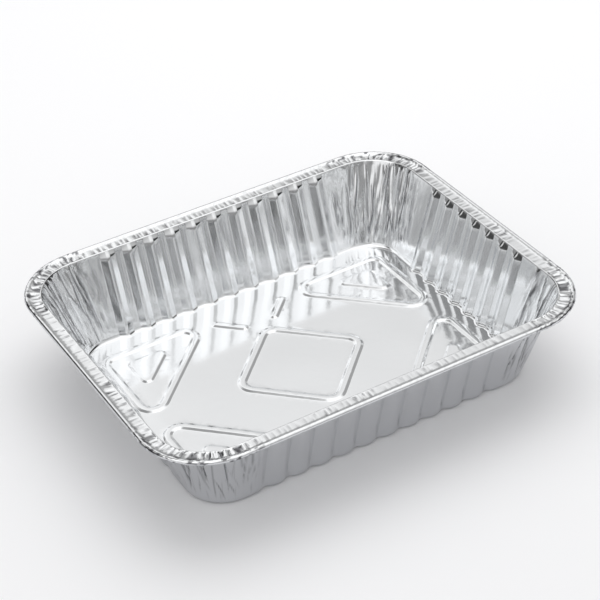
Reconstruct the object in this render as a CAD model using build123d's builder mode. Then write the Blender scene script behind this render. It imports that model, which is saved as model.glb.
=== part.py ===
from build123d import *
from math import asin, atan2, cos, degrees, hypot, pi, radians, sin, sqrt, tan
import os

# Aluminium foil tray of the half-size steam-table pattern, pressed from one sheet.
# Millimetres, +Z up, X along the long side. The origin is the middle of the underside of the base.

# ---------------------------------------------------------------- driving dimensions
foil = 0.10                 # sheet thickness

rim_length = 324.0          # over the rolled edge, along X
rim_width = 263.5           # over the rolled edge, along Y
rim_corner = 49.0           # outside radius of the rim's corners
flange_height = 63.6        # underside of the base to the top face of the flange
flange_width = 8.0          # flat land between the roll and the wall

roll_diameter = 4.0         # the sheet's edge, turned up, over and back under itself
roll_drop = 0.7             # middle of the roll below the flange's top face
roll_gap = 25.0             # degrees left open where the roll ends under the flange

end_run = 32.0              # rim's outer edge to the foot of an end wall, seen from above
side_run = 30.25            # the same at the long sides
base_corner = 28.0
base_bend = 3.0             # outside radius of the bend from base to wall

long_ribs = 11              # ribs pressed inward in each long wall
long_margin = 43.5          # end of the base to the middle of the last rib
short_ribs = 7
short_margin = 51.7
rib_crest = 2.6             # width of a rib's flat crest
rib_flank = 4.6             # width of each sloping flank, seen from above
rib_depth = 2.2
cap_height = 4.0            # sloping facet that closes the top of each rib
cap_land = 0.8              # plain wall between the caps and the flange

corner_pleats = 10          # gathers in each corner of the wall
pleat_width = 3.0
pleat_depth = 0.5
pleat_rise = 12.0           # height over which a gather deepens, above the bend

ridge_height = 1.0          # ridges and pads raised from the base to stiffen it
ridge_width = 7.0           # over both flanks
ridge_flank = 2.0           # width of one flank, seen from above
diamond_reach = 50.0        # centre of the base to the corners of the diamond's ridge
diamond_corner = 9.0        # corner radii are at the middle of a ridge
stroke_length = 28.0        # short strokes beyond the diamond's two corners on Y
stroke_x = 20.0
stroke_beyond = 17.0        # middle of a stroke beyond the diamond's corner, along Y
triangle_end_gap = 14.0     # end of the base to the corner triangles' ridges
triangle_side_gap = 19.5
triangle_corner = 9.0
slant_gap = 14.5            # end of the base to where a slanting side's line meets X
pad_end_gap = 13.0          # a triangle's ridge to the raised pad inside it
pad_side_gap = 11.0
pad_slant_gap = 21.5        # along X
pad_corner = 5.0

proud = 1.0                 # how far a cutting shape stands out of what it cuts

# ---------------------------------------------------------------- worked out from those
roll_radius = roll_diameter / 2
rim_edge = roll_diameter + flange_width
base_length = rim_length - 2 * end_run      # where the lines of the walls meet the table
base_width = rim_width - 2 * side_run
long_pitch = (base_length - 2 * long_margin) / (long_ribs - 1)
short_pitch = (base_width - 2 * short_margin) / (short_ribs - 1)
mouth_corner = rim_corner - rim_edge
slope_x = (rim_length / 2 - rim_edge - base_length / 2) / flange_height
slope_y = (rim_width / 2 - rim_edge - base_width / 2) / flange_height
slope_corner = (mouth_corner - base_corner) / flange_height
lean_x = hypot(1, slope_x)  # level width of a wall of unit thickness
lean_y = hypot(1, slope_y)
cap_top = flange_height - foil - cap_land
cap_foot = cap_top - cap_height
flank_slope = atan2(ridge_height, ridge_flank)
stroke_y = diamond_reach + stroke_beyond
triangle_x = base_length / 2 - triangle_end_gap
triangle_y = base_width / 2 - triangle_side_gap
triangle_reach = base_length / 2 - slant_gap
pad_x = triangle_x - pad_end_gap
pad_y = triangle_y - pad_side_gap
pad_reach = triangle_reach + pad_slant_gap


# ---------------------------------------------------------------- the walls
def plain_pan(sheet, top):
    """The pan with plain walls, solid: its outside, or its hollow where sheet is the foil."""
    with BuildPart() as pan:
        for height in (sheet, top):
            half_x = base_length / 2 + slope_x * height - sheet * lean_x
            half_y = base_width / 2 + slope_y * height - sheet * lean_y
            corner = base_corner + slope_corner * height - sheet * (lean_x + lean_y) / 2
            with BuildSketch(Plane.XY.offset(height)):
                RectangleRounded(2 * half_x, 2 * half_y, corner)
        loft()
    return pan.part


def rib(half, slope, lean, sheet):
    """One rib of the wall that faces +Y, as the solid it takes out of the pan."""
    crest = rib_crest / 2 + sheet * tan(atan2(rib_depth, rib_flank) / 2)
    with BuildPart() as tool:
        for height, depth in ((-proud, rib_depth), (cap_foot, rib_depth), (cap_top, 0)):
            face = half + slope * height - sheet * lean
            wide = crest + rib_flank * (depth + proud) / rib_depth
            with BuildSketch(Plane.XY.offset(height)):
                with BuildLine():
                    Polyline(
                        (-wide, face + proud),
                        (-crest, face - depth),
                        (crest, face - depth),
                        (wide, face + proud),
                        close=True,
                    )
                make_face()
        loft(ruled=True)
    return tool.part


def pleat(angle, sheet):
    """One gather of the corner towards +X +Y: a V that deepens upward and dies out at the rim."""
    levels = (
        (base_bend + proud, 0),
        (base_bend + pleat_rise, pleat_depth),
        (cap_foot, pleat_depth),
        (cap_top, 0),
    )
    out = Vector(cos(angle), sin(angle))
    side = Vector(-sin(angle), cos(angle))
    with BuildPart() as tool:
        for height, depth in levels:
            corner = base_corner + slope_corner * height - sheet * (lean_x + lean_y) / 2
            centre = Vector(
                base_length / 2 + slope_x * height - sheet * lean_x - corner,
                base_width / 2 + slope_y * height - sheet * lean_y - corner,
            )
            root = centre + out * (corner - depth)
            lip = centre + out * (corner + proud)
            wide = pleat_width / 2 * (depth + proud) / pleat_depth
            with BuildSketch(Plane.XY.offset(height)):
                with BuildLine():
                    Polyline(root, lip + side * wide, lip - side * wide, close=True)
                make_face()
        loft(ruled=True)
    return tool.part


def pan_solid(sheet, top):
    """The ribbed and gathered pan, solid, with its bend round the base."""
    long_rib = rib(base_width / 2, slope_y, lean_y, sheet)
    short_rib = rib(base_length / 2, slope_x, lean_x, sheet)
    with BuildPart() as pan:
        add(plain_pan(sheet, top))
        with PolarLocations(0, 2):
            with GridLocations(long_pitch, 0, long_ribs, 1):
                add(long_rib, mode=Mode.SUBTRACT)
        with PolarLocations(0, 2, start_angle=90):
            with GridLocations(short_pitch, 0, short_ribs, 1):
                add(short_rib, mode=Mode.SUBTRACT)
        fillet(pan.faces().sort_by(Axis.Z)[0].edges(), base_bend - sheet)
        for step in range(corner_pleats):
            corner = pleat((step + 0.5) * pi / 2 / corner_pleats, sheet)
            for across in (corner, mirror(corner, about=Plane.YZ, mode=Mode.PRIVATE)):
                add(across, mode=Mode.SUBTRACT)
                mirror(across, about=Plane.XZ, mode=Mode.SUBTRACT)
    return pan.part


# ---------------------------------------------------------------- the pattern of the base
def ridge_ring(corners, radius, grow):
    """A ridge that follows a closed figure with rounded corners."""
    with BuildSketch() as middle:
        with BuildLine():
            Polyline(*corners, close=True)
        make_face()
        fillet(middle.vertices(), radius)
    with BuildSketch() as ring:
        offset(middle.sketch, amount=ridge_width / 2 + grow)
        offset(middle.sketch, amount=-ridge_width / 2 - grow, mode=Mode.SUBTRACT)
    return ring.sketch


def corner_triangle(x, y, reach):
    """A triangle in the corner towards +X +Y, its slanting side at 45 degrees."""
    return (x, reach - x), (x, y), (reach - y, y)


def base_pattern(grow):
    """Feet of all the ridges and pads, larger all round by grow."""
    far = diamond_reach
    diamond = (far, 0), (0, far), (-far, 0), (0, -far)
    outline = corner_triangle(triangle_x, triangle_y, triangle_reach)
    with BuildSketch() as pad:
        with BuildLine():
            Polyline(*corner_triangle(pad_x, pad_y, pad_reach), close=True)
        make_face()
        fillet(pad.vertices(), pad_corner)
        offset(amount=grow)
    with BuildSketch() as quarter:
        add(ridge_ring(outline, triangle_corner, grow))
        add(pad.sketch)
        with Locations(Location((stroke_x, stroke_y), 45)):
            SlotCenterToCenter(stroke_length - ridge_width, ridge_width + 2 * grow)
    with BuildSketch() as pattern:
        add(ridge_ring(diamond, diamond_corner, grow))
        add(quarter.sketch)
        mirror(quarter.sketch, about=Plane.YZ)
        mirror(quarter.sketch, about=Plane.XZ)
        with PolarLocations(0, 1, start_angle=180):
            add(quarter.sketch)
    return pattern.sketch


# ---------------------------------------------------------------- the rim
def rim_strip():
    """The flange and its rolled edge, as one strip led round the mouth."""
    with BuildSketch(Plane.XY.offset(flange_height)) as inside_roll:
        RectangleRounded(rim_length, rim_width, rim_corner)
        offset(amount=-roll_diameter, mode=Mode.REPLACE)
    path = inside_roll.sketch.face().outer_wire()
    forward = path % 0
    section_plane = Plane(path @ 0, x_dir=forward.cross(Vector(0, 0, 1)), z_dir=-forward)
    middle_radius = roll_radius - foil / 2
    flange_end = roll_radius - sqrt(middle_radius**2 - (roll_drop - foil / 2) ** 2)
    gap_start = pi - asin((roll_drop - foil) / roll_radius) + foil / roll_radius / 2
    gap_end = gap_start + radians(roll_gap)
    roll_middle = Vector(roll_radius, -roll_drop)
    with BuildPart() as strip:
        with BuildSketch(section_plane):
            with Locations(roll_middle):
                Circle(roll_radius)
                Circle(roll_radius - foil, mode=Mode.SUBTRACT)
            with BuildLine():
                Polyline(
                    roll_middle,
                    roll_middle + Vector(cos(gap_start), sin(gap_start)) * roll_diameter,
                    roll_middle + Vector(cos(gap_end), sin(gap_end)) * roll_diameter,
                    close=True,
                )
            make_face(mode=Mode.SUBTRACT)
            with Locations((flange_end, 0)):
                Rectangle(flange_end + flange_width + proud, foil, align=(Align.MAX, Align.MAX))
        sweep(path=path)
    return strip.part


# ---------------------------------------------------------------- the tray
with BuildPart() as hollow:
    add(pan_solid(foil, flange_height + proud))
    with BuildSketch(Plane.XY.offset(foil)):
        add(base_pattern(foil * tan(flank_slope / 2)))
    extrude(amount=ridge_height, taper=90 - degrees(flank_slope), mode=Mode.SUBTRACT)

with BuildPart() as foil_tray:
    add(pan_solid(0, flange_height - foil / 2))
    with BuildSketch(Plane.XY):
        add(base_pattern(0))
    extrude(amount=ridge_height, taper=90 - degrees(flank_slope), mode=Mode.SUBTRACT)
    add(rim_strip())
    add(hollow.part, mode=Mode.SUBTRACT)

os.makedirs("parts", exist_ok=True)
foil_tray.part.label = "foil_tray"
export_step(foil_tray.part, "parts/foil_tray.step")
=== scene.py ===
import bpy
import math
import random
import numpy as np
from mathutils import Matrix, Vector, geometry, noise


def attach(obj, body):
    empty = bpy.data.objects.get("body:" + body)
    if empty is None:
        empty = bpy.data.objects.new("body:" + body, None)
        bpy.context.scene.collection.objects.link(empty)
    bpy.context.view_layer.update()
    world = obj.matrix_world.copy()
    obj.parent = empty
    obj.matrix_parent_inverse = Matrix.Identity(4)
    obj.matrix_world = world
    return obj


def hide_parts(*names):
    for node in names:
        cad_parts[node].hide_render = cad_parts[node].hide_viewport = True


# Aluminium foil tray: one pressed sheet, drawn as a closed skin with both faces of the foil.
# The shape is worked out in millimetres in the row's frame and scaled to metres at the end.

MM = 0.001
FOIL = 0.10

RIM_HALF = np.array([162.0, 131.75])
RIM_CORNER = 49.0
FLANGE_HEIGHT = 63.6
HALF_WAY = 30.0             # height at which lengths along the outline are taken
FLANGE_WIDTH = 8.0
ROLL_RADIUS = 2.0
ROLL_DROP = 0.7
ROLL_SLACK = 0.34           # most that the crumpled roll shrinks below its true radius

BASE_HALF = np.array([130.0, 101.5])
BASE_CORNER = 28.0
BASE_BEND = 3.0
MOUTH_HALF = RIM_HALF - 2 * ROLL_RADIUS - FLANGE_WIDTH
MOUTH_CORNER = RIM_CORNER - 2 * ROLL_RADIUS - FLANGE_WIDTH
RIM_ARC = MOUTH_CORNER + 5  # radius at which the rim's spacing is measured

RIB_CREST = 1.3             # half the width of a crest
RIB_FLANK = 4.6
RIB_DEPTH = 2.2
RIB_EDGE = 0.35             # half the width of the rounding along a rib's edges
RIB_SPREAD = 7.2            # a rib's middle to where the plain wall starts
LONG_RIBS = (11, 17.3)      # count and pitch
SHORT_RIBS = (7, 16.6)
CAP_FOOT = 59.4
CAP_TOP = 62.7

BEND_ROWS = 4
WALL_ROWS = 17
WALL_STEP = 1.4             # spacing of the points in a wall's plain ends
CORNER_STEPS = 112
FRILL = 17.0                # how far the gathers run on past the corner's arc
CREASES = 70                # gathers in each corner
CREASE_SPAN = 27.0          # middle of a corner to the end of its arc, with a little over
TALL_CREASES = 0.62         # share of the gathers that reach up to the rim
RIM_STEP = 1.15             # spacing of the rim's points round the tray
RIM_CORNER_STEP = 0.62      # that spacing at the corners, as a share of it
CRIMP_PITCH = 4.4

RIDGE_HEIGHT = 1.0
RIDGE_HALF = 3.5
RIDGE_FLANK = 2.0
RIDGE_EDGE = 0.35
DIAMOND = 50.0
DIAMOND_CORNER = 9.0
STROKE = (20.0, 67.0, 10.5)  # middle of a short stroke and half its straight length
TRIANGLE = (116.0, 82.0, 115.5, 9.0)
PAD = (103.0, 71.0, 137.0, 5.0)
BASE_GRID = 4.5
BASE_RING = 1.2             # flat strip between the bend and the triangles of the base

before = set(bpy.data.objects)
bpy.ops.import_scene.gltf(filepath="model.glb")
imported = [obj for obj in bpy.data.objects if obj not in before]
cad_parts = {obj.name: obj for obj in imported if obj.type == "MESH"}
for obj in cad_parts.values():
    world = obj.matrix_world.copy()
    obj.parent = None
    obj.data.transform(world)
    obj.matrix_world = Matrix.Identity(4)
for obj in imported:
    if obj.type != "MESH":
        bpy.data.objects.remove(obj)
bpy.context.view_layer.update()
rng = random.Random(41)


def smooth(low, high, value):
    """0 below low, 1 above high, with a soft step between them."""
    t = np.clip((np.asarray(value, float) - low) / (high - low), 0, 1)
    return t * t * (3 - 2 * t)


def grain(points, seed):
    """Smooth seeded noise from -1 to 1 at each row of points."""
    shift = Vector((seed * 17.3, seed * 5.1, seed * 9.7))
    return np.array([noise.noise(Vector(p) + shift) for p in points])


def grain_along(run, scale, seed, across=0.0):
    """The same noise at places along the outline, with features about scale long."""
    level = np.zeros(len(run))
    return grain(np.stack([run / scale, level + across, level], axis=1), seed)


# ---------------------------------------------------------------- stations round the tray
# A station is a vertical section of the sheet. Its point at height z lies at
# fixed * (1 - share) + share * side * core(z) + normal * (corner radius(z) + outward).
# Its kind is 0 on a wall along X, 1 on a wall along Y and CORNER on a corner's arc.
CORNER = 2


def outline_size(z):
    """Half size of the outline without its corners, and its corner radius, at height z."""
    t = np.asarray(z, float) / FLANGE_HEIGHT
    corner = BASE_CORNER + (MOUTH_CORNER - BASE_CORNER) * t
    half = BASE_HALF + (MOUTH_HALF - BASE_HALF) * t[..., None]
    return half - corner[..., None], corner


def wall_places(count, pitch, half_straight):
    """Places along one wall: both edges of every bend of the ribs, then the plain ends."""
    reach = (count - 1) / 2 * pitch
    offsets = []
    for edge in (RIB_CREST + RIB_FLANK, RIB_CREST):
        offsets += [edge - RIB_EDGE, edge + RIB_EDGE]
    offsets = [-o for o in offsets] + [0.0] + offsets
    places = [k * pitch - reach + o for k in range(count) for o in offsets]
    places += [(k + 0.5) * pitch - reach for k in range(count - 1)]
    last = reach + RIB_SPREAD
    fixed = [(p, 0.0) for p in sorted(places + [-last, last])]
    steps = max(2, round((half_straight - last) / WALL_STEP))
    ends = [(last, k / steps) for k in range(1, steps)]
    return [(-p, t) for p, t in reversed(ends)] + fixed + ends


def rim_places(half_straight):
    """Evenly spaced places along one side of the rim."""
    steps = round(2 * half_straight / RIM_STEP)
    return [(half_straight * (2 * k / steps - 1), 0.0) for k in range(1, steps)]


def stations(long_places, short_places, corner_steps):
    """All stations, anticlockwise from the front wall's left end."""
    rows = []
    walls = ((0, -1, 1), (1, 1, 1), (0, 1, -1), (1, -1, -1))
    for turn, (axis, face, way) in enumerate(walls):
        places = long_places if axis == 0 else short_places
        for place, share in places:
            fixed, portion, side, normal = np.zeros(2), np.ones(2), np.zeros(2), np.zeros(2)
            fixed[axis] = place * way
            portion[axis] = share
            side[axis] = math.copysign(1, place * way)
            side[1 - axis] = face
            normal[1 - axis] = face
            rows.append((fixed, portion, side, normal, axis, turn))
        start = math.radians(90 * turn - 90)
        side = np.array([math.copysign(1, math.cos(start + math.pi / 4)),
                         math.copysign(1, math.sin(start + math.pi / 4))])
        for k in range(corner_steps + 1):
            a = start + math.pi / 2 * k / corner_steps
            normal = np.array([math.cos(a), math.sin(a)])
            rows.append((np.zeros(2), np.ones(2), side, normal, CORNER, turn))
    names = ("fixed", "share", "side", "normal", "kind", "turn")
    return {name: np.array(column) for name, column in zip(names, zip(*rows))}


def place(st, z, outward):
    """XY of every station at height z of the outline, moved outward along its normal."""
    core, corner = outline_size(np.broadcast_to(z, outward.shape))
    flat = st["fixed"] * (1 - st["share"]) + st["share"] * st["side"] * core
    return flat + st["normal"] * (corner + outward)[..., None]


def corner_places(st):
    """Each station's nearest corner, its distance from that corner's middle, and its run.

    The run and the distance are measured along the outline half way up the wall.
    """
    middle = place(st, HALF_WAY, np.zeros(len(st["kind"])))
    step = np.linalg.norm(np.roll(middle, -1, axis=0) - middle, axis=1)
    run = np.concatenate([[0], np.cumsum(step)[:-1]])
    loop = step.sum()
    best = np.full(len(run), 1e9)
    which = np.zeros(len(run), int)
    for turn in range(4):
        arc = (st["kind"] == CORNER) & (st["turn"] == turn)
        centre = run[arc].mean()
        away = (run - centre + loop / 2) % loop - loop / 2
        nearer = np.abs(away) < np.abs(best)
        best[nearer] = away[nearer]
        which[nearer] = turn
    return which, best, run


# ---------------------------------------------------------------- relief of the walls
def rib_depth(st, z):
    """How far the ribs bring the wall inward at height z."""
    depth = np.zeros(len(st["kind"]))
    open_share = np.clip((CAP_TOP - z) / (CAP_TOP - CAP_FOOT), 0, 1)
    for axis, (count, pitch) in ((0, LONG_RIBS), (1, SHORT_RIBS)):
        on = (st["kind"] == axis) & (st["share"][:, axis] == 0)
        u = st["fixed"][on, axis]
        middle = np.clip(np.round(u / pitch), -(count // 2), count // 2) * pitch
        beyond = np.maximum(np.abs(u - middle) - RIB_CREST * open_share, 0)
        depth[on] = np.maximum(open_share - beyond / RIB_FLANK, 0) * RIB_DEPTH
    return depth


def make_creases():
    """Random gathers of the corners: corner, place, tilt, width, depth, heights and bend."""
    creases = []
    for turn in range(4):
        for k in range(CREASES):
            at = rng.uniform(-CREASE_SPAN - FRILL, CREASE_SPAN + FRILL)
            high = rng.random() < TALL_CREASES
            low = rng.uniform(2, 42) if high else rng.uniform(-6, 20)
            top = rng.uniform(52, 76) if high else low + rng.uniform(14, 40)
            creases.append((turn, at, rng.gauss(0, 0.11), rng.uniform(0.5, 1.5),
                            rng.uniform(0.3, 1.25), low, top, rng.gauss(0, 0.6)))
    return creases


def crease_relief(which, away, z, creases):
    """Inward depth of the gathers at one height, and the painted shade along their creases."""
    arc_half = (BASE_CORNER + (MOUTH_CORNER - BASE_CORNER) * 0.47) * math.pi / 4
    frill = 1 - smooth(arc_half, arc_half + FRILL, np.abs(away))
    depth = np.zeros(len(away))
    crease_shade = np.zeros(len(away))
    for turn, at, tilt, width, deep, low, top, bend in creases:
        bow = bend * math.sin(z / 9.0 + at)
        d = away - at - tilt * (z - 35) - bow
        d = np.where(d < 0, -d / width, d / (width * 1.9))
        window = float(smooth(low, low + 9, z) * (1 - smooth(top - 12, top, z)))
        depth += np.where(which == turn, deep * window * np.clip(1 - d, 0, 1), 0)
        # Painted shade: a narrow dark line down the middle of each gather, kept apart from its depth.
        line = np.where(which == turn, deep * window * np.clip(1 - 2.2 * d, 0, 1), 0)
        crease_shade = np.maximum(crease_shade, line)
    points = np.stack([away / 3.4, np.full(len(away), z / 17.0), which * 7.0], axis=1)
    buckle = 0.55 * grain(points, 1) + 0.12 * grain(points * (2.6, 2.0, 1), 2)
    rise = smooth(2.5, 14, z) * (1 - smooth(60, FLANGE_HEIGHT, z))
    return (depth * 0.9 + buckle) * frill * rise, np.clip(crease_shade, 0, 1) * frill * rise


def wall_rows(st, creases):
    """Points of the outer face from the foot of the bend to the mouth, ring by ring."""
    which, away, run = corner_places(st)
    slope = (MOUTH_HALF - BASE_HALF) / FLANGE_HEIGHT
    steep = np.where(st["kind"] == 0, slope[1], slope[0])
    mix = np.sin(np.arctan2(np.abs(st["normal"][:, 1]), np.abs(st["normal"][:, 0]))) ** 2
    steep = np.where(st["kind"] == CORNER, slope[0] * (1 - mix) + slope[1] * mix, steep)
    turn = np.pi / 2 - np.arctan(steep)
    tangent = BASE_BEND * np.tan(turn / 2)
    flat = place(st, 0.0, -rib_depth(st, 0) - tangent - BASE_RING)
    rings = [np.column_stack([flat, np.zeros(len(run))])]
    # Painted shade for each point, none on the flat strip and the bend.
    fold_shade = [np.zeros((BEND_ROWS + 1) * len(run))]
    for k in range(BEND_ROWS):
        w = turn * k / (BEND_ROWS - 1)
        z = BASE_BEND * (1 - np.cos(w))
        out = -rib_depth(st, 0) - tangent + BASE_BEND * np.sin(w)
        rings.append(np.column_stack([place(st, 0.0, out), z]))
    heights = np.linspace(3.4, CAP_FOOT - 0.6, WALL_ROWS).tolist()
    for z in heights + [CAP_FOOT + 0.6, (CAP_FOOT + CAP_TOP) / 2, CAP_TOP]:
        dent, crease_shade = crease_relief(which, away, z, creases)
        out = -rib_depth(st, z) - dent
        swell = grain_along(run, 22.0, 3, across=z / 30.0)
        out = out + 0.06 * swell * smooth(0, 12, z) * (1 - smooth(55, 62, z))
        rings.append(np.column_stack([place(st, z, out), np.full(len(out), z)]))
        fold_shade.append(crease_shade)
    return rings, np.concatenate(fold_shade)


# ---------------------------------------------------------------- the rim
def crimp_height(run, across, away):
    """Height of the small crimps across the flange, and the painted shade where they bend most sharply."""
    phase = run / CRIMP_PITCH + 1.3 * grain_along(run, 8.0, 4)
    wedge = 0.22 * (across - 0.5) * np.where(np.floor(phase) % 2 == 0, 1, -1)
    wave = np.clip((np.abs(((phase + wedge) % 1.0) - 0.5) * 2 - 0.35) / 0.65, 0, 1)
    spread = 0.5 + 0.9 * grain_along(run, 16.0, 5)
    gathered = 1 - smooth(30, 44, np.abs(away))
    fine = grain_along(run, 1.7, 6, across=across * 1.3)
    wave = wave * (1 + 0.4 * gathered)
    height = -(0.75 * wave * np.clip(spread, 0.08, 1) + gathered * (0.35 + 0.8 * fine))
    # The second value is painted shade where the crimps bend most sharply.
    return height, np.clip((wave - 0.6) / 0.3, 0, 1) * np.clip(spread + 0.3 * gathered, 0, 1)


def rim_rows(st):
    """Points of the outer face from the mouth over the flange and round the roll."""
    away, run = corner_places(st)[1:]
    rings = []
    for out, drop in ((0.0, 0.35), (0.25, 0.08), (0.7, 0.0)):
        edge = 0.12 * grain_along(run, 6.0, 7)
        rings.append(np.column_stack([place(st, FLANGE_HEIGHT, out + edge),
                                      np.full(len(run), FLANGE_HEIGHT - drop - 0.05)]))
    # Painted shade for each point, none at the mouth's edge.
    fold_shade = [np.zeros(3 * len(run))]
    for across in (0.16, 0.38, 0.6, 0.82):
        height, crease_shade = crimp_height(run, across, away)
        z = FLANGE_HEIGHT - 0.05 + height
        fold_shade.append(crease_shade)
        out = np.full(len(run), across * FLANGE_WIDTH)
        rings.append(np.column_stack([place(st, FLANGE_HEIGHT, out), z]))
    middle = FLANGE_WIDTH + ROLL_RADIUS
    height = FLANGE_HEIGHT - ROLL_DROP
    start = math.pi - math.asin(ROLL_DROP / ROLL_RADIUS)
    finish = start - 2 * math.pi + math.radians(26)
    gathered = 1 - smooth(32, 50, np.abs(away))
    for k in range(13):
        a = start + (finish - start) * k / 12
        points = np.stack([run / 2.3, run * 0 + math.cos(a) * 1.4, run * 0 + math.sin(a) * 1.4], axis=1)
        crumple = 0.5 + 0.5 * grain(points, 8)
        long_wave = 0.5 + 0.5 * grain_along(run, 14.0, 9)
        shrink = ROLL_SLACK * (0.25 * long_wave + 0.5 * crumple + gathered * 3.2 * np.abs(crumple - 0.5))
        radius = ROLL_RADIUS - 0.08 - np.clip(shrink, 0, 3 * ROLL_SLACK) * min(1.0, k / 2)
        rings.append(np.column_stack([place(st, FLANGE_HEIGHT, middle + radius * math.cos(a)),
                                      height + radius * math.sin(a)]))
        # Painted shade: random dark patches on the roll, most where the corners gather it.
        roll_shade_marks = np.clip((grain(points * 0.8, 10) - 0.16) / 0.12, 0, 1)
        fold_shade.append(roll_shade_marks * (0.12 + 0.88 * gathered))
    return rings, np.concatenate(fold_shade)


# ---------------------------------------------------------------- the base
def rounded(corners, radius, grow):
    """Points round a convex figure with rounded corners, moved outward by grow."""
    points = []
    n = len(corners)
    for i in range(n):
        before, here, after = (np.array(corners[(i + j - 1) % n], float) for j in range(3))
        a, b = before - here, after - here
        a, b = a / np.linalg.norm(a), b / np.linalg.norm(b)
        half = math.acos(np.clip(a @ b, -1, 1)) / 2
        centre = here + (a + b) / np.linalg.norm(a + b) * radius / math.sin(half)
        first = np.array([a[1], -a[0]])
        if first @ (centre - here) > 0:
            first = -first
        last = np.array([b[1], -b[0]])
        if last @ (centre - here) > 0:
            last = -last
        start = math.atan2(first[1], first[0])
        sweep = (math.atan2(last[1], last[0]) - start + math.pi) % (2 * math.pi) - math.pi
        for k in range(7):
            angle = start + sweep * k / 6
            points.append(centre + (radius + grow) * np.array([math.cos(angle), math.sin(angle)]))
    return np.array(points)


def refine(points, step):
    """A closed line with more points along its long sides."""
    out = []
    for p, q in zip(points, np.roll(points, -1, axis=0)):
        count = max(1, math.ceil(np.linalg.norm(q - p) / step))
        out += [p + (q - p) * k / count for k in range(count)]
    return np.array(out)


def to_figure(points, corners, radius):
    """Signed distance from points to a rounded figure, below 0 inside it."""
    inner = rounded(corners, radius, -radius)
    keep = [0]
    for i in range(1, len(inner)):
        if np.linalg.norm(inner[i] - inner[keep[-1]]) > 1e-6:
            keep.append(i)
    poly = inner[keep]
    if np.linalg.norm(poly[0] - poly[-1]) < 1e-6:
        poly = poly[:-1]
    if len(poly) == 2:
        poly = np.array([poly[0], poly[1], poly[0]])
    best = np.full(len(points), 1e9)
    inside = np.ones(len(points), bool)
    area = 0.5 * np.sum(poly[:, 0] * np.roll(poly[:, 1], -1) - np.roll(poly[:, 0], -1) * poly[:, 1])
    for p, q in zip(poly, np.roll(poly, -1, axis=0)):
        edge = q - p
        if edge @ edge < 1e-9:
            continue
        t = np.clip((points - p) @ edge / (edge @ edge), 0, 1)
        best = np.minimum(best, np.linalg.norm(points - p - t[:, None] * edge, axis=1))
        cross = edge[0] * (points[:, 1] - p[1]) - edge[1] * (points[:, 0] - p[0])
        inside &= (cross >= 0) if area > 0 else (cross <= 0)
    return np.where(inside & (abs(area) > 1e-3), -best, best) - radius


def figures():
    """Ridges and pads of the base: corners, corner radius, and whether only the outline is raised."""
    found = [([(DIAMOND, 0), (0, DIAMOND), (-DIAMOND, 0), (0, -DIAMOND)], DIAMOND_CORNER, True)]
    for sx in (1, -1):
        for sy in (1, -1):
            for (x, y, reach, radius), ring in ((TRIANGLE, True), (PAD, False)):
                corners = [(x, reach - x), (x, y), (reach - y, y)]
                found.append(([(sx * p, sy * q) for p, q in corners], radius, ring))
    return found


def strokes():
    """Ends of the four short strokes."""
    x, y, half = STROKE
    d = half * math.sqrt(0.5)
    return [(sx * (x - d), sy * (y - d), sx * (x + d), sy * (y + d))
            for sx in (1, -1) for sy in (1, -1)]


def raised(inset):
    """Height of the pressed pattern at a distance inside its foot."""
    return RIDGE_HEIGHT * np.clip(inset / RIDGE_FLANK, 0, 1)


def base_height(points):
    """Height of the pressed pattern at points of the base."""
    z = np.zeros(len(points))
    for corners, radius, ring in figures():
        d = to_figure(points, corners, radius)
        z = np.maximum(z, raised(RIDGE_HALF - np.abs(d) if ring else -d))
    for x0, y0, x1, y1 in strokes():
        p, edge = np.array([x0, y0]), np.array([x1 - x0, y1 - y0])
        t = np.clip((points - p) @ edge / (edge @ edge), 0, 1)
        d = np.linalg.norm(points - p - t[:, None] * edge, axis=1)
        z = np.maximum(z, raised(RIDGE_HALF - d))
    return z


def pattern_lines():
    """Lines that follow both edges of every bend of the pattern."""
    lines = []
    for corners, radius, ring in figures():
        levels = [0, RIDGE_FLANK]
        if ring:
            crest = RIDGE_HALF - RIDGE_FLANK
            levels = [-RIDGE_HALF, -crest, crest, RIDGE_HALF]
        for level in levels:
            for edge in (-RIDGE_EDGE, RIDGE_EDGE):
                grow = level + edge if ring else -level + edge
                lines.append(refine(rounded(corners, radius, grow), 5.0))
    for x0, y0, x1, y1 in strokes():
        a = math.atan2(y1 - y0, x1 - x0)
        for level in (RIDGE_HALF, RIDGE_HALF - RIDGE_FLANK):
            for edge in (-RIDGE_EDGE, RIDGE_EDGE):
                line = []
                for cx, cy, turn in ((x1, y1, -90), (x0, y0, 90)):
                    for k in range(9):
                        b = a + math.radians(turn + 180 * k / 8)
                        line.append((cx + (level + edge) * math.cos(b), cy + (level + edge) * math.sin(b)))
                lines.append(refine(np.array(line), 5.0))
    return lines


def base_mesh(ring):
    """Triangles of the base inside the ring, and which of the given points each point is."""
    lines = pattern_lines()
    points = [tuple(p) for p in ring[:, :2]]
    edges = [(i, (i + 1) % len(ring)) for i in range(len(ring))]
    for line in lines:
        first = len(points)
        points += [tuple(p) for p in line]
        edges += [(first + i, first + (i + 1) % len(line)) for i in range(len(line))]
    taken = np.array(points)
    xs = np.arange(-BASE_HALF[0], BASE_HALF[0], BASE_GRID)
    ys = np.arange(-BASE_HALF[1], BASE_HALF[1], BASE_GRID)
    grid = np.array([(x + (BASE_GRID / 2 if j % 2 else 0), y) for j, y in enumerate(ys) for x in xs])
    core = BASE_HALF - BASE_CORNER
    inset = np.linalg.norm(np.maximum(np.abs(grid) - core, 0), axis=1)
    grid = grid[inset < BASE_CORNER - 8.0]
    for chunk in np.array_split(np.arange(len(grid)), 40):
        gap = np.linalg.norm(grid[chunk][:, None] - taken[None], axis=2).min(axis=1)
        points += [tuple(p) for p in grid[chunk][gap > 1.6]]
    outline = [list(range(len(ring)))]
    found = geometry.delaunay_2d_cdt([Vector(p) for p in points], edges, outline, 1, 1e-5)
    flat = np.array([(v.x, v.y) for v in found[0]])
    return flat, [tuple(f) for f in found[2]], found[3]


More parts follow.
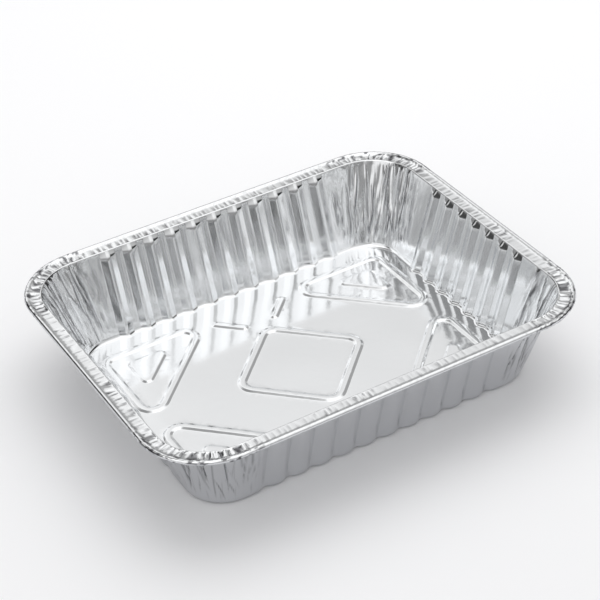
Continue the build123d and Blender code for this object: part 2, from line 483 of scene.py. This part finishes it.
# ---------------------------------------------------------------- the skin
def bridge(lower, upper, lower_at, upper_at):
    """Triangles between two rings with different counts of points."""
    faces = []
    n, m = len(lower), len(upper)
    i = j = 0
    while i < n or j < m:
        next_low = lower_at[i + 1] if i + 1 < n else 1.0
        next_up = upper_at[j + 1] if j + 1 < m else 1.0
        if j >= m or (i < n and next_low <= next_up):
            faces.append((lower[i % n], lower[(i + 1) % n], upper[j % m]))
            i += 1
        else:
            faces.append((lower[i % n], upper[(j + 1) % m], upper[j % m]))
            j += 1
    return faces


def ring_share(points):
    """Share of the way round at each point, from the middle of the front wall's left end."""
    step = np.linalg.norm(np.roll(points[:, :2], -1, axis=0) - points[:, :2], axis=1)
    return np.concatenate([[0], np.cumsum(step)[:-1]]) / step.sum()


def build_skin():
    """Points and faces of the foil's outer face, the sheet's free edge, and the painted shade of the
    creases at each point.
    """
    creases = make_creases()
    mid_core = outline_size(np.array(HALF_WAY))[0]
    low = stations(wall_places(*LONG_RIBS, mid_core[0]),
                   wall_places(*SHORT_RIBS, mid_core[1]), CORNER_STEPS)
    mouth_core = outline_size(np.array(FLANGE_HEIGHT))[0]
    high_corner = round(RIM_ARC * math.pi / 2 / (RIM_STEP * RIM_CORNER_STEP))
    high = stations(rim_places(mouth_core[0]), rim_places(mouth_core[1]), high_corner)
    walls, fold_shade = wall_rows(low, creases)
    rim, rim_fold_shade = rim_rows(high)
    fold_shade = np.concatenate([fold_shade, rim_fold_shade])
    points = []
    faces = []

    def add_rings(rings):
        """Joins rings of points by quads and gives the first and the last ring."""
        first = sum(len(p) for p in points)
        n = len(rings[0])
        points.extend(rings)
        for k in range(len(rings) - 1):
            a = first + k * n
            for i in range(n):
                j = (i + 1) % n
                faces.append((a + i, a + j, a + n + j, a + n + i))
        last = first + (len(rings) - 1) * n
        return list(range(first, first + n)), list(range(last, last + n))

    foot, wall_top = add_rings(walls)
    rim_foot, sheet_edge = add_rings(rim)
    faces.extend(bridge(wall_top, rim_foot, ring_share(walls[-1]), ring_share(rim[0])))

    flat, base_faces, source = base_mesh(walls[0])
    height = base_height(flat)
    waves = 0.5 + 0.5 * grain(np.column_stack([flat / 42.0, np.zeros(len(flat))]), 11)
    core = BASE_HALF - BASE_CORNER
    inset = np.linalg.norm(np.maximum(np.abs(flat) - core, 0), axis=1)
    settle = 1 - smooth(BASE_CORNER - 22, BASE_CORNER - 6, inset)
    height = height + 0.45 * waves * settle
    index = {}
    extra = []
    first = sum(len(p) for p in points)
    for i, origin in enumerate(source):
        at = [o for o in origin if o < len(foot)]
        if at:
            index[i] = foot[at[0]]
        else:
            index[i] = first + len(extra)
            extra.append((flat[i][0], flat[i][1], height[i]))
    points.append(np.array(extra))
    for f in base_faces:
        mapped = tuple(index[v] for v in f)
        p, q, r = (flat[v] for v in f[:3])
        if (q[0] - p[0]) * (r[1] - p[1]) - (q[1] - p[1]) * (r[0] - p[0]) > 0:
            mapped = mapped[::-1]
        faces.append(mapped)
    skin_points = np.vstack(points)
    return skin_points, faces, sheet_edge, np.pad(fold_shade, (0, len(skin_points) - len(fold_shade)))


def area_normals(points, faces):
    """Normals at the points, each face counted by its area, so wide facets stay flat."""
    total = np.zeros_like(points)
    for size in (3, 4):
        group = np.array([f for f in faces if len(f) == size], int)
        if not len(group):
            continue
        p = points[group]
        if size == 3:
            n = np.cross(p[:, 1] - p[:, 0], p[:, 2] - p[:, 0])
        else:
            n = np.cross(p[:, 2] - p[:, 0], p[:, 3] - p[:, 1])
        for k in range(size):
            np.add.at(total, group[:, k], n)
    return total / np.maximum(np.linalg.norm(total, axis=1), 1e-12)[:, None]


outer, outer_faces, sheet_edge, fold_shade = build_skin()
normals = area_normals(outer, outer_faces)
count = len(outer)
inner = outer - normals * FOIL
skin = np.vstack([outer, inner])
skin_faces = list(outer_faces) + [tuple(count + v for v in reversed(f)) for f in outer_faces]
for a, b in zip(sheet_edge, sheet_edge[1:] + sheet_edge[:1]):
    skin_faces.append((a, b, count + b, count + a))

mesh = bpy.data.meshes.new("foil_tray_sheet")
mesh.from_pydata((skin * MM).tolist(), [], skin_faces)
mesh.polygons.foreach_set("use_smooth", [True] * len(mesh.polygons))
mesh.update()
# Painted shade: a point attribute that darkens the foil's colour in its creases, crimps and crumples.
fold_shade_layer = mesh.attributes.new("painted_fold_shade", "FLOAT", "POINT")
fold_shade_layer.data.foreach_set("value", np.concatenate([fold_shade, fold_shade]).astype(np.float32))
mesh.normals_split_custom_set_from_vertices(np.vstack([normals, -normals]).tolist())
tray = bpy.data.objects.new("foil_tray_sheet", mesh)
bpy.context.collection.objects.link(tray)


# ---------------------------------------------------------------- the foil
def foil_material():
    """Bright foil, hazier in places, with a fine ripple and painted shade as dark lines in its creases."""
    material = bpy.data.materials.new("aluminium_foil")
    material.use_nodes = True
    nodes, links = material.node_tree.nodes, material.node_tree.links
    shader = nodes["Principled BSDF"]
    painted_fold_shade = nodes.new("ShaderNodeAttribute")
    painted_fold_shade.attribute_name = "painted_fold_shade"
    fold_shade_mix = nodes.new("ShaderNodeMix")
    fold_shade_mix.data_type = "RGBA"
    links.new(painted_fold_shade.outputs["Fac"], fold_shade_mix.inputs["Factor"])
    fold_shade_mix.inputs[6].default_value = (0.90, 0.91, 0.92, 1)
    # The dark grey is painted shade, not a colour of the foil.
    fold_shade_mix.inputs[7].default_value = (0.16, 0.16, 0.17, 1)
    links.new(fold_shade_mix.outputs[2], shader.inputs["Base Color"])
    shader.inputs["Metallic"].default_value = 1.0
    place_in = nodes.new("ShaderNodeTexCoord")
    cloud = nodes.new("ShaderNodeTexNoise")
    cloud.inputs["Scale"].default_value = 38.0
    cloud.inputs["Detail"].default_value = 3.0
    links.new(place_in.outputs["Object"], cloud.inputs["Vector"])
    haze = nodes.new("ShaderNodeMapRange")
    haze.inputs["To Min"].default_value = 0.08
    haze.inputs["To Max"].default_value = 0.13
    links.new(cloud.outputs["Fac"], haze.inputs["Value"])
    links.new(haze.outputs["Result"], shader.inputs["Roughness"])
    ripple = nodes.new("ShaderNodeTexNoise")
    ripple.inputs["Scale"].default_value = 160.0
    ripple.inputs["Detail"].default_value = 2.0
    links.new(place_in.outputs["Object"], ripple.inputs["Vector"])
    bump = nodes.new("ShaderNodeBump")
    bump.inputs["Strength"].default_value = 0.12
    bump.inputs["Distance"].default_value = 0.0003
    links.new(ripple.outputs["Fac"], bump.inputs["Height"])
    links.new(bump.outputs["Normal"], shader.inputs["Normal"])
    return material


mesh.materials.append(foil_material())
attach(tray, "root")
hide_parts("foil_tray")


# ---------------------------------------------------------------- floor, light and camera
def floor_material():
    """A pale matt floor, mirrored darker in the foil than it is: painted shade in the foil's reflection.
    """
    material = bpy.data.materials.new("pale_floor")
    material.use_nodes = True
    nodes, links = material.node_tree.nodes, material.node_tree.links
    shader = nodes["Principled BSDF"]
    ray = nodes.new("ShaderNodeLightPath")
    mirrored_floor_shade = nodes.new("ShaderNodeMix")
    mirrored_floor_shade.data_type = "RGBA"
    # Painted shade: the floor turns darker only where the foil reflects it.
    links.new(ray.outputs["Is Glossy Ray"], mirrored_floor_shade.inputs["Factor"])
    mirrored_floor_shade.inputs[6].default_value = (0.93, 0.93, 0.94, 1)
    mirrored_floor_shade.inputs[7].default_value = (0.70, 0.70, 0.72, 1)
    links.new(mirrored_floor_shade.outputs[2], shader.inputs["Base Color"])
    shader.inputs["Roughness"].default_value = 0.9
    return material


bpy.ops.mesh.primitive_plane_add(size=8, location=(0, 0, -0.0004))
floor = bpy.context.object
floor.name = "floor"
floor.data.materials.append(floor_material())


def soft_lamp(name, place, target, size, watts):
    """A rectangular lamp that the foil does not mirror."""
    data = bpy.data.lights.new(name, "AREA")
    data.shape = "RECTANGLE"
    data.size, data.size_y = size
    data.energy = watts
    lamp = bpy.data.objects.new(name, data)
    bpy.context.collection.objects.link(lamp)
    lamp.location = place
    lamp.visible_glossy = False
    lamp.rotation_euler = (Vector(target) - Vector(place)).to_track_quat("-Z", "Y").to_euler()


soft_lamp("key_softbox", (0.4, 0.5, 1.5), (0, 0, 0), (1.7, 1.7), 12)

# What the foil mirrors: a pale room that darkens towards the horizon, with soft patches, most
# of them darker. Matt surfaces get an even grey instead, and the camera sees white. A patch is a
# direction, the degrees from it where its soft edge ends and where it starts, and its grey.
HORIZON = 0.18
OVERHEAD = 1.25
AMBIENT = 0.72
PATCHES = (
    ((-0.35, 0.35, 0.87), 28, 10, 0.30),
    ((-0.40, 0.84, 0.38), 20, 11, 0.03),
    ((-0.91, 0.33, 0.26), 24, 12, 0.06),
    ((0.46, 0.80, 0.30), 15, 6, 0.45),
    ((0.91, -0.33, 0.30), 28, 16, 0.03),
    ((0.76, 0.25, 0.60), 20, 10, 0.38),
    ((-0.56, -0.32, 0.77), 34, 16, 1.30),
    ((0.06, 0.84, 0.54), 17, 8, 1.05),
    ((-0.84, -0.39, 0.37), 24, 12, 0.95),
)


def room_world():
    """The world round the tray, by the kind of ray that meets it."""
    world = bpy.data.worlds.new("studio")
    bpy.context.scene.world = world
    world.use_nodes = True
    nodes, links = world.node_tree.nodes, world.node_tree.links
    background = nodes["Background"]
    where = nodes.new("ShaderNodeTexCoord")
    axes = nodes.new("ShaderNodeSeparateXYZ")
    links.new(where.outputs["Generated"], axes.inputs["Vector"])
    sky = nodes.new("ShaderNodeMapRange")
    sky.inputs["To Min"].default_value = HORIZON
    sky.inputs["To Max"].default_value = OVERHEAD
    links.new(axes.outputs["Z"], sky.inputs["Value"])
    value = sky.outputs["Result"]
    for direction, outer_edge, inner_edge, grey in PATCHES:
        dot = nodes.new("ShaderNodeVectorMath")
        dot.operation = "DOT_PRODUCT"
        links.new(where.outputs["Generated"], dot.inputs[0])
        dot.inputs[1].default_value = Vector(direction).normalized()
        edge = nodes.new("ShaderNodeMapRange")
        edge.interpolation_type = "SMOOTHSTEP"
        edge.inputs["From Min"].default_value = math.cos(math.radians(outer_edge))
        edge.inputs["From Max"].default_value = math.cos(math.radians(inner_edge))
        links.new(dot.outputs["Value"], edge.inputs["Value"])
        mix = nodes.new("ShaderNodeMix")
        links.new(edge.outputs["Result"], mix.inputs["Factor"])
        links.new(value, mix.inputs["A"])
        mix.inputs["B"].default_value = grey
        value = mix.outputs["Result"]
    ray = nodes.new("ShaderNodeLightPath")
    matt = nodes.new("ShaderNodeMix")
    links.new(ray.outputs["Is Diffuse Ray"], matt.inputs["Factor"])
    links.new(value, matt.inputs["A"])
    matt.inputs["B"].default_value = AMBIENT
    white = nodes.new("ShaderNodeMix")
    links.new(ray.outputs["Is Camera Ray"], white.inputs["Factor"])
    links.new(matt.outputs["Result"], white.inputs["A"])
    white.inputs["B"].default_value = 1.0
    links.new(white.outputs["Result"], background.inputs["Strength"])
    background.inputs["Color"].default_value = (1, 1, 1, 1)


room_world()
bpy.context.scene.view_settings.view_transform = "Standard"

LENS = 106.1
AZIMUTH, ELEVATION, ROLL = (math.radians(a) for a in (-28.56, 35.5, -3.84))
DISTANCE = 1.19731
TARGET = Vector((-0.00369, -0.01111, 0.0629))
level = math.cos(ELEVATION)
back = Vector((math.sin(AZIMUTH) * level, -math.cos(AZIMUTH) * level, math.sin(ELEVATION)))
right = (-back).cross(Vector((0, 0, 1))).normalized()
up = right.cross(-back)
right, up = (math.cos(ROLL) * right + math.sin(ROLL) * up,
             math.cos(ROLL) * up - math.sin(ROLL) * right)
camera = bpy.data.objects.new("camera", bpy.data.cameras.new("camera"))
camera.data.lens = LENS
camera.data.sensor_width = 36
bpy.context.collection.objects.link(camera)
turned = Matrix((right, up, back)).transposed().to_4x4()
camera.matrix_world = Matrix.Translation(TARGET + back * DISTANCE) @ turned
bpy.context.scene.camera = camera
